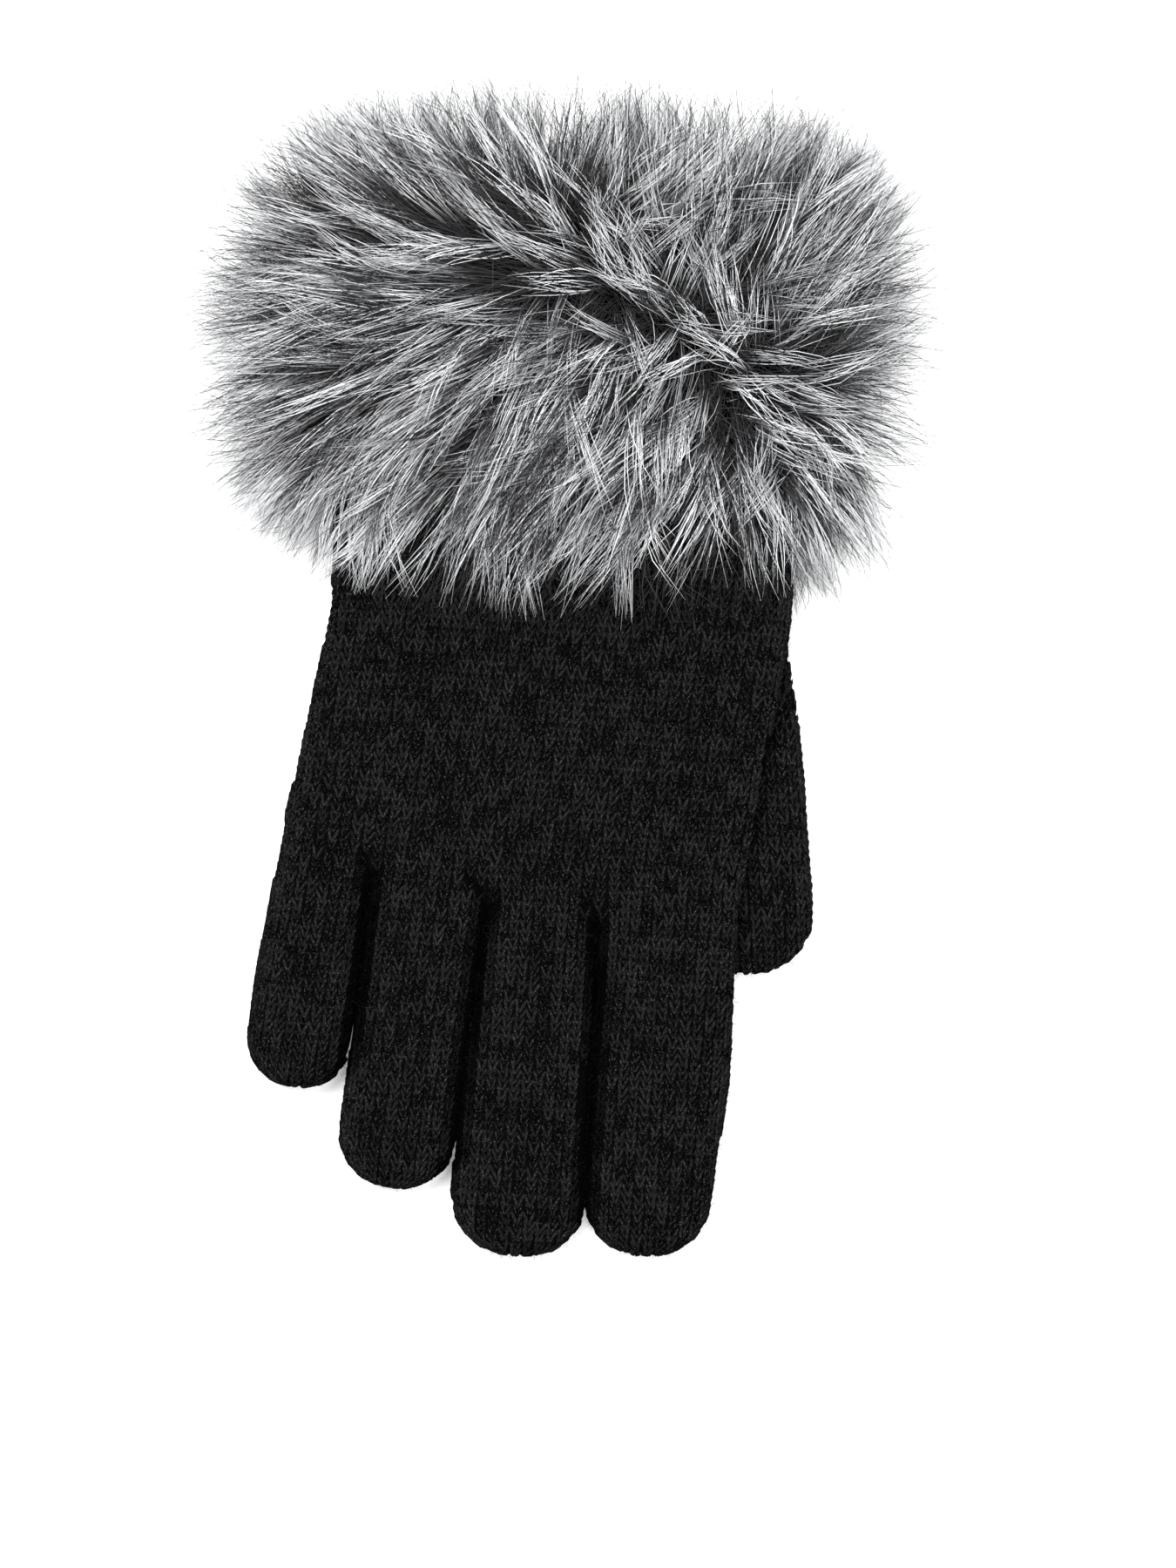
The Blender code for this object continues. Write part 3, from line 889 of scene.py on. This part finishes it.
class Slicer:
    """Cuts a closed mesh across Y and chains the cuts into outlines."""

    def __init__(self, node: Object) -> None:
        """Merges the node's loose triangles.

        Args:
            node: The closed mesh to cut.
        """
        sheet = bmesh.new()
        sheet.from_mesh(node.data)
        bmesh.ops.remove_doubles(sheet, verts=sheet.verts, dist=0.001 * MM)
        bmesh.ops.triangulate(sheet, faces=sheet.faces)
        self.points = np.array([v.co[:] for v in sheet.verts])
        sheet.verts.index_update()
        self.faces = np.array([[v.index for v in f.verts] for f in sheet.faces])
        sheet.free()

    def outlines(self, y: float) -> list[Outline]:
        """The outer outlines at that y.

        Args:
            y: Where to cut.

        Returns:
            The outlines that bound the fabric's outside.
        """
        side = self.points[:, 1] > y
        mixed = self.faces[(side[self.faces].sum(axis=1) % 3) != 0]
        follow: dict[tuple[int, int], tuple[int, int]] = {}
        for face in mixed:
            pairs = ((a, b) for a, b in zip(face, np.roll(face, -1)) if side[a] != side[b])
            crossed = {bool(side[a]): (min(a, b), max(a, b)) for a, b in pairs}
            follow[crossed[True]] = crossed[False]
        found = []
        while follow:
            start, edge = follow.popitem()
            chain = [start]
            while edge != start and edge in follow:
                chain.append(edge)
                edge = follow.pop(edge)
            ends = np.array(chain)
            a, b = self.points[ends[:, 0]], self.points[ends[:, 1]]
            share = (y - a[:, 1]) / (b[:, 1] - a[:, 1])
            ring = (a + (b - a) * share[:, None])[:, [0, 2]]
            x, z = ring[:, 0], ring[:, 1]
            area = 0.5 * float(np.sum(x * np.roll(z, -1) - np.roll(x, -1) * z))
            if area < -SMALLEST_OUTLINE:
                found.append(Outline(ring))
        return found


# ---- the fur cuff


@dataclass(frozen=True)
class Pile:
    """One layer of the fur."""

    coat: Coat
    clumps: int
    hairs: int
    steps: int
    length: float
    spread: float
    gather: float
    stray: float
    curl: float
    thickness: float
    frost: Pair
    dark_share: float
    reach: float
    pieces: int
    seed: int


@dataclass
class Clumps:
    """Where one layer's tufts stand, and how each of them falls."""

    root: Array
    outward: Array
    flow: Array
    near: Array

    @property
    def top(self) -> Array:
        """Which of them aren't on the underside."""
        return self.outward[:, 2] > -0.35


@dataclass
class FurCuff:
    """The backing band and the pile on it, which falls away from a parting near the thumb's side."""

    centre: Triple = (1.2 * MM, 86.0 * MM, 13.0 * MM)
    half_width: float = 49.8 * MM
    half_height: float = 9.8 * MM
    band: float = 58.0 * MM
    wall: float = 1.8 * MM
    squareness: float = 2.6
    circumference: float = 222 * MM
    outline_centre: Pair = (1.8 * MM, 85.3 * MM)
    outline_half: Pair = (80.5 * MM, 57.5 * MM)
    outline_turn: float = math.radians(3.5)
    outline_power: float = 2.45
    corner_power: float = 3.5
    top_z: float = 46.0 * MM
    parting: tuple[Pair, ...] = ((8 * MM, 101 * MM), (41 * MM, 76 * MM))
    parting_reach: float = 12 * MM
    fan: Pair = (0.9, 1.15)
    swirl_size: float = 17 * MM
    swirl_turn: float = 0.35
    turn_noise: float = 0.16
    parting_mess: float = 1.5
    bend_noise: float = 0.32
    rise_root: Triple = (0.72, 0.30, 0.12)
    rise_tip: Triple = (-0.05, 0.40, 0.14)
    droop: float = 0.12
    frost_width: float = 0.30
    under_line: Pair = (-30 * MM, 32 * MM)
    over_hand: float = 52 * MM
    piles: tuple[Pile, ...] = (
        Pile(Coat.UNDER, 800, 6, 3, 18 * MM, 2.6 * MM, 0.2, 0.14, 0.05, 0.28 * MM, (0.9, 1.5), 0.5, 0.92, 1, 11),
        Pile(Coat.TUFT, 1100, 16, 5, 36 * MM, 2.8 * MM, 0.86, 0.040, 0.028, 0.225 * MM, (0.22, 0.66), 0.12, 1.0, 3, 23),
        Pile(Coat.GUARD, 900, 7, 4, 40 * MM, 4.0 * MM, 0.1, 0.20, 0.08, 0.16 * MM, (1.3, 1.6), 1.0, 1.07, 1, 37),
    )

    def loop(self, turns: Array, wider: float = 0.0) -> tuple[Array, Array]:
        """Points and outward directions round the band's section.

        Args:
            turns: Angles round the section.
            wider: How far outside the band's outer face.

        Returns:
            The (x, z) points and the (x, z) outward directions.
        """
        power = 2 / self.squareness
        wide, high = self.half_width + wider, self.half_height + wider
        cos, sin = np.cos(turns), np.sin(turns)
        x = np.sign(cos) * np.abs(cos) ** power * wide
        z = np.sign(sin) * np.abs(sin) ** power * high
        slope_x = np.sign(x) * np.abs(x / wide) ** (self.squareness - 1) / wide
        slope_z = np.sign(z) * np.abs(z / high) ** (self.squareness - 1) / high
        outward = unit(np.stack([slope_x, slope_z], axis=1))
        return np.stack([x + self.centre[0], z + self.centre[2]], axis=1), outward

    def even_turns(self, count: int, shift: Array) -> Array:
        """Angles whose points are evenly spaced round the section.

        Args:
            count: How many.
            shift: How far each is moved, as a share of the spacing.

        Returns:
            The angles.
        """
        fine = np.linspace(0, 2 * math.pi, 4001)
        ring, _ = self.loop(fine)
        travelled = np.concatenate([[0], np.cumsum(np.linalg.norm(np.diff(ring, axis=0), axis=1))])
        wanted = (np.arange(count) + 0.5 + shift) / count % 1.0 * travelled[-1]
        return np.interp(wanted, travelled, fine)

    def plant(self, pile: Pile, random: Dice) -> Clumps:
        """Spreads a layer's tufts over the band.

        Args:
            pile: The layer.
            random: The layer's random numbers.

        Returns:
            The tufts.
        """
        rows = max(1, round(math.sqrt(pile.clumps * self.band / self.circumference)))
        columns = pile.clumps // rows
        places, outs = [], []
        for row in range(rows):
            shift = random.uniform(-0.42, 0.42, columns) + 0.5 * (row % 2)
            ring, outward = self.loop(self.even_turns(columns, shift))
            y = self.centre[1] + ((row + 0.5 + random.uniform(-0.45, 0.45, columns)) / rows - 0.5) * self.band
            places.append(np.stack([ring[:, 0], y, ring[:, 1]], axis=1))
            outs.append(np.stack([outward[:, 0], np.zeros(columns), outward[:, 1]], axis=1))
        root, outward = np.concatenate(places), np.concatenate(outs)
        flow, near = self.lay(root, outward[:, 2])
        aside = unit(random.normal(0, 1, (len(root), 2)))
        swirl = self.swirl_turn * self.swirl(root, pile.seed)
        flow = turned(flow, swirl + random.normal(0, self.turn_noise, len(root)))
        flow = flow + aside * self.parting_mess * near[:, None]
        return Clumps(root, outward, unit(flow), near)

    def lay(self, root: Array, upward: Array) -> tuple[Array, Array]:
        """The direction seen from above in which the pile falls, and how near the parting is.

        Args:
            root: Root positions.
            upward: The outward directions' z, which tells the top from the underside.

        Returns:
            Flat unit directions, and 1 on the parting falling to 0 away from it.
        """
        start, end = np.array(self.parting[0]), np.array(self.parting[1])
        line = end - start
        flat = root[:, :2]
        share = np.clip(((flat - start) @ line) / (line @ line), 0, 1)
        away_top = flat - (start + share[:, None] * line)
        under = np.stack([np.clip(flat[:, 0], *self.under_line), np.full(len(flat), self.centre[1])], axis=1)
        on_top = np.clip(0.5 + 0.9 * upward, 0, 1)[:, None]
        away = away_top * on_top + (flat - under) * (1 - on_top) + 1e-6
        distance = np.linalg.norm(away, axis=1)
        edge = (flat[:, 1] - self.centre[1]) / (0.5 * self.band)
        away = away / distance[:, None]
        away[:, 1] += np.where(edge > 0, self.fan[1], self.fan[0]) * edge * np.abs(edge)
        near = np.exp(-distance / self.parting_reach) * on_top[:, 0]
        return unit(away), near

    def swirl(self, places: Array, seed: int) -> Array:
        """Smooth random numbers, mostly between -1 and 1.

        Args:
            places: Positions.
            seed: The seed.

        Returns:
            A number for each place.
        """
        random = np.random.default_rng(seed)
        total = np.zeros(len(places))
        for _ in range(6):
            wave = random.normal(0, 1, 3)
            wave *= 2 * math.pi / self.swirl_size / np.linalg.norm(wave) * random.uniform(0.4, 1.0)
            total += np.sin(places @ wave + random.uniform(0, 2 * math.pi))
        return total / 3

    def sweep(self, pile: Pile, clumps: Clumps, random: Dice) -> Array:
        """The middle line of each tuft, which stands at its root and bends over towards its tip.

        Args:
            pile: The layer.
            clumps: Its tufts.
            random: The layer's random numbers.

        Returns:
            Points as tufts by steps by 3.
        """
        count, top = len(clumps.root), clumps.top
        bend = random.normal(0, self.bend_noise, count)
        rises = [
            np.where(top, plain + more * clumps.near, beneath) + random.normal(0, noise, count) * top
            for (plain, more, noise), beneath in ((self.rise_root, 0.05), (self.rise_tip, 0.0))
        ]
        length = pile.length * random.uniform(0.86, 1.12, count)
        length *= (1 - 0.5 * clumps.near) * np.where(top, 1.0, 0.9)
        path = np.zeros((count, pile.steps, 3))
        path[:, 0] = clumps.root
        for k in range(1, pile.steps):
            share = (k - 0.5) / (pile.steps - 1)
            rise = rises[0] + (rises[1] - rises[0]) * share ** 0.8
            flat = turned(clumps.flow, bend * (share - 0.2))
            along = np.concatenate([flat, np.zeros((count, 1))], axis=1)
            heading = along * np.cos(rise)[:, None] + clumps.outward * np.sin(rise)[:, None]
            heading[:, 2] -= self.droop * share
            path[:, k] = path[:, k - 1] + unit(heading) * (length / (pile.steps - 1))[:, None]
        return path

    def strands(self, pile: Pile, skin: BVHTree) -> tuple[Array, dict[str, Array]]:
        """Computes a layer's hairs.

        Args:
            pile: The layer.
            skin: The knitted skin, which the hairs lie over.

        Returns:
            Points as hairs by steps by 3, and attributes as hairs by steps.
        """
        random = np.random.default_rng(pile.seed)
        clumps = self.plant(pile, random)
        owner = np.repeat(np.arange(len(clumps.root)), pile.hairs)
        middle = self.sweep(pile, clumps, random)[owner]
        hairs = len(owner)
        steps = np.linspace(0, 1, pile.steps)
        scale = random.uniform(0.66, 1.08, hairs)
        path = middle[:, :1] + (middle - middle[:, :1]) * scale[:, None, None]
        along = np.concatenate([clumps.flow, np.zeros((len(clumps.flow), 1))], axis=1)
        aside = np.cross(clumps.outward, along)
        aside /= np.maximum(np.linalg.norm(aside, axis=1, keepdims=True), 1e-6)
        ahead = np.cross(aside, clumps.outward)
        shift = random.normal(0, 0.5 * pile.spread, (2, hairs, 1))
        offset = aside[owner] * shift[0] + ahead[owner] * shift[1]
        stray = random.normal(0, pile.stray * pile.length, (hairs, 3)) * (1, 1, 0.6)
        curl = random.normal(0, pile.curl * pile.length, (hairs, 3))
        for k, t in enumerate(steps):
            path[:, k] += offset * (1 - pile.gather * t ** 0.7) + stray * t ** 1.6 + curl * math.sin(math.pi * t)
        self.trim(path, pile.reach, random)
        self.keep_clear(path, ~clumps.top[owner], skin, random)
        return path, self.colour(pile, clumps, owner, random)

    def colour(self, pile: Pile, clumps: Clumps, owner: Array, random: Dice) -> dict[str, Array]:
        """How frosted and how thick each hair is along its length.

        Args:
            pile: The layer.
            clumps: Its tufts.
            owner: Each hair's tuft.
            random: The layer's random numbers.

        Returns:
            The attributes, each as hairs by steps.
        """
        hairs, steps = len(owner), np.linspace(0, 1, pile.steps)
        starts = (random.uniform(*pile.frost, len(clumps.root)) - 0.15 * clumps.near)[owner]
        starts = starts + random.normal(0, 0.09, hairs)
        starts = np.where(random.random(hairs) < pile.dark_share, 1.5, starts)
        bright = np.clip(random.normal(0.92, 0.22, len(clumps.root)), 0.35, 1.1)[owner]
        bright = bright * random.uniform(0.80, 1.0, hairs)
        frost = np.clip((steps[None] - starts[:, None]) / self.frost_width, 0, 1)
        frost = frost * frost * (3 - 2 * frost) * bright[:, None]
        frost = np.minimum(frost, 1.0) + 0.03 * random.random(hairs)[:, None] * (1 + steps[None])
        taper = np.interp(steps, [0, 0.15, 0.6, 0.9, 1], [0.7, 1.0, 0.9, 0.45, 0.12])
        radius = 0.5 * pile.thickness * taper[None] * random.uniform(0.75, 1.15, hairs)[:, None]
        return {"frost": frost, "radius_mm": radius / MM}

    def trim(self, path: Array, most: float, random: Dice) -> None:
        """Shortens the hairs whose ends would stand out of the pile's outline seen from above.

        Args:
            path: The hairs' points, which are changed.
            most: How far out they may end, 1 being on the outline.
            random: The layer's random numbers.
        """
        def reach(points: Array) -> Array:
            """How far out each point is.

            Args:
                points: Positions.

            Returns:
                A number for each, 1 being on the outline.
            """
            flat = turned(points[:, :2] - np.array(self.outline_centre), -self.outline_turn)
            by_thumb = (flat[:, 0] > 0) & (flat[:, 1] < 0)
            power = np.where(by_thumb, self.corner_power, self.outline_power)
            return (np.abs(flat / self.outline_half) ** power[:, None]).sum(axis=1) ** (1 / power)

        root, tip = reach(path[:, 0]), reach(path[:, -1])
        limit = random.normal(most, 0.022, len(path))
        share = np.clip((limit - root) / np.maximum(tip - root, 1e-6), 0.35, 1.0)
        share = np.where(tip > limit, share, 1.0)
        path[:] = path[:, :1] + (path - path[:, :1]) * share[:, None, None]
        path[:, :, 2] = np.minimum(path[:, :, 2], self.top_z + random.normal(0, 0.8 * MM, (len(path), 1)))

    def keep_clear(self, path: Array, under: Array, skin: BVHTree, random: Dice) -> None:
        """Lifts hairs off the table and the knitted hand, and squeezes those beneath it flat.

        Args:
            path: The hairs' points, which are changed.
            under: Which hairs grow on the underside.
            skin: The knitted skin.
            random: The layer's random numbers.
        """
        floor = random.uniform(0.25, 1.6, len(path)) * MM
        for k in range(1, path.shape[1]):
            z = path[:, k, 2]
            path[:, k, 2] = np.where(z < floor, floor + 0.08 * (z - floor).clip(-8 * MM, 0), z)
        path[:, :, 2] = np.maximum(path[:, :, 2], 0.15 * MM)
        past_band = path[:, :, 1] < self.centre[1] - self.band / 2
        over_hand = np.abs(path[:, :, 0] - self.centre[0]) < self.over_hand
        for hair, step in np.argwhere(past_band & over_hand):
            x, y, z = path[hair, step]
            if under[hair]:
                path[hair, step, 2] = min(z, 1.0 * MM)
                continue
            hit = skin.ray_cast(Vector((x, y, 0.1)), Vector((0, 0, -1)))[0]
            if hit is not None:
                path[hair, step, 2] = max(z, hit.z + floor[hair])

    def hair_tree(self) -> NodeTree:
        """Writes the tree that gives each hair's path its thickness.

        Returns:
            The tree.
        """
        inputs = {"Sides": ("NodeSocketInt", 3), "Material": ("NodeSocketMaterial", None)}
        recipe, into, out = geometry_tree("hairs", inputs)
        curves = recipe.add("GeometryNodeMeshToCurve", {}, {"Mesh": into.outputs["Geometry"]})
        radius = recipe.out(recipe.named("radius_mm", "FLOAT")) * MM
        sides = {"Resolution": into.outputs["Sides"], "Radius": 1.0}
        ring = recipe.add("GeometryNodeCurvePrimitiveCircle", {}, sides)
        tubes = recipe.add(
            "GeometryNodeCurveToMesh", {}, {"Curve": curves, "Profile Curve": ring, "Scale": radius, "Fill Caps": True}
        )
        return recipe.finish(tubes, into, out)

    def build_backing(self) -> Object:
        """Makes the band of backing cloth, a closed ring wall.

        Returns:
            The piece.
        """
        count = 96
        turns = self.even_turns(count, np.zeros(count))
        outer, _ = self.loop(turns, 0.2 * MM)
        inner, _ = self.loop(turns, -self.wall)
        low, high = self.centre[1] - self.band / 2, self.centre[1] + self.band / 2
        sheet = bmesh.new()
        rings = [
            [sheet.verts.new((x, y, z)) for x, z in ring]
            for ring, y in ((outer, low), (outer, high), (inner, high), (inner, low))
        ]
        for k, ring in enumerate(rings):
            after = rings[(k + 1) % 4]
            for i in range(count):
                j = (i + 1) % count
                sheet.faces.new((ring[i], ring[j], after[j], after[i]))
        bmesh.ops.recalc_face_normals(sheet, faces=sheet.faces)
        return new_object("fur_backing", sheet_mesh("fur_backing", sheet))

    def build(self, skin: Object) -> list[Object]:
        """Makes the backing and the pile.

        Args:
            skin: The knitted skin.

        Returns:
            The pieces.
        """
        finish = FurFinish("frosted_fur").build()
        backing = self.build_backing()
        # The backing cloth gets only dim painted glints.
        backing.data.materials.append(KnitFinish("fur_backing_cloth", painted_glint_and_tone=(0.02, 0.02, 0.02)).build())
        pieces = [backing]
        tree = self.hair_tree()
        under = BVHTree.FromObject(skin, bpy.context.evaluated_depsgraph_get())
        for pile in self.piles:
            path, facts = self.strands(pile, under)
            for number, chosen in enumerate(np.array_split(np.arange(len(path)), pile.pieces), 1):
                name = f"fur_{pile.coat.value}" + (f"_{number}" if pile.pieces > 1 else "")
                first = np.arange(len(chosen))[:, None] * pile.steps + np.arange(pile.steps - 1)[None]
                edges = np.stack([first, first + 1], axis=2).reshape(-1, 2)
                flat = {label: values[chosen].reshape(-1) for label, values in facts.items()}
                mesh = point_mesh(name, path[chosen].reshape(-1, 3), edges, flat)
                pieces.append(grow(new_object(name, mesh), tree, {"Sides": 3, "Material": finish}))
        return pieces


def unit(rows: Array) -> Array:
    """Directions made one long."""
    return rows / np.linalg.norm(rows, axis=1, keepdims=True)


def turned(flat: Array, angles: Array) -> Array:
    """Flat directions turned by angles."""
    cos, sin = np.cos(angles), np.sin(angles)
    return np.stack([flat[:, 0] * cos - flat[:, 1] * sin, flat[:, 0] * sin + flat[:, 1] * cos], axis=1)


# ---- the studio


@dataclass
class Studio:
    """A white sheet, soft light from all round and a camera straight above."""

    aim: Pair = (10.6 * MM, -6.7 * MM)
    roll: float = math.radians(3.5)
    frame_height: float = 333 * MM
    lens: float = 120.0
    sensor: float = 36.0
    sky: float = 0.25
    lamps: tuple[tuple[str, Triple, float, float], ...] = (
        ("key", (-0.25, 0.40, 1.3), 0.6, 30.0),
        ("fill", (0.35, -0.2, 1.4), 0.8, 16.0),
    )

    def build(self) -> None:
        """Adds the floor, the lights and the camera."""
        self.build_floor()
        self.build_lights()
        self.build_camera()

    def build_floor(self) -> None:
        """Adds the white sheet."""
        sheet = bmesh.new()
        bmesh.ops.create_grid(sheet, x_segments=1, y_segments=1, size=3.0)
        mesh = sheet_mesh("floor", sheet)
        mesh.materials.append(PaperFinish("white_sheet").build())
        new_object("floor", mesh)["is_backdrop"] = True

    def build_lights(self) -> None:
        """Adds the sky and the soft boxes."""
        world = bpy.data.worlds.new("studio")
        world.use_nodes = True
        background = world.node_tree.nodes["Background"]
        background.inputs["Color"].default_value = (1, 1, 1, 1)
        background.inputs["Strength"].default_value = self.sky
        bpy.context.scene.world = world
        bpy.context.scene.view_settings.view_transform = "Standard"
        for name, place, size, power in self.lamps:
            lamp = bpy.data.lights.new(name, "AREA")
            lamp.shape = "DISK"
            lamp.size = size
            lamp.energy = power
            obj = new_object(name, lamp)
            obj.location = place
            obj.rotation_euler = (-Vector(place)).to_track_quat("-Z", "Y").to_euler()

    def build_camera(self) -> None:
        """Adds the camera, turned as the photograph is."""
        data = bpy.data.cameras.new("camera")
        data.lens = self.lens
        data.sensor_width = self.sensor
        data.clip_start = 0.05
        camera = new_object("camera", data)
        camera.location = (*self.aim, self.frame_height * self.lens / self.sensor)
        camera.rotation_euler = (0, 0, self.roll)
        bpy.context.scene.camera = camera


def enlist(pieces: Sequence[Object], slot: Slot) -> None:
    """Puts pieces on the root body and reports them.

    Args:
        pieces: The pieces.
        slot: Their slot. Not used.
    """
    for piece in pieces:
        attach(piece, BODY)
        triangles = sum(len(p.vertices) - 2 for p in piece.data.polygons)
        LOG.info("%s: %d triangles", piece.name, triangles)


def main() -> None:
    """Builds the glove over its frame, and the studio round it."""
    logging.basicConfig(level=logging.INFO, format="%(name)s: %(message)s")
    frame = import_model()
    solid_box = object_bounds()
    knit = KnitShell().build([frame["nodes"][name] for name in FABRIC])
    enlist(knit, Slot.KNIT)
    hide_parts(*FABRIC)
    fur = FurCuff().build(knit[0])
    enlist(fur, Slot.FUR)
    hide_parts(*CUFF)
    Studio().build()
    boxes = {
        label: [list(map(float, corner)) for corner in box]
        for label, box in (("solids", solid_box), ("pieces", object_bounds()))
    }


if __name__ == "__main__":
    main()
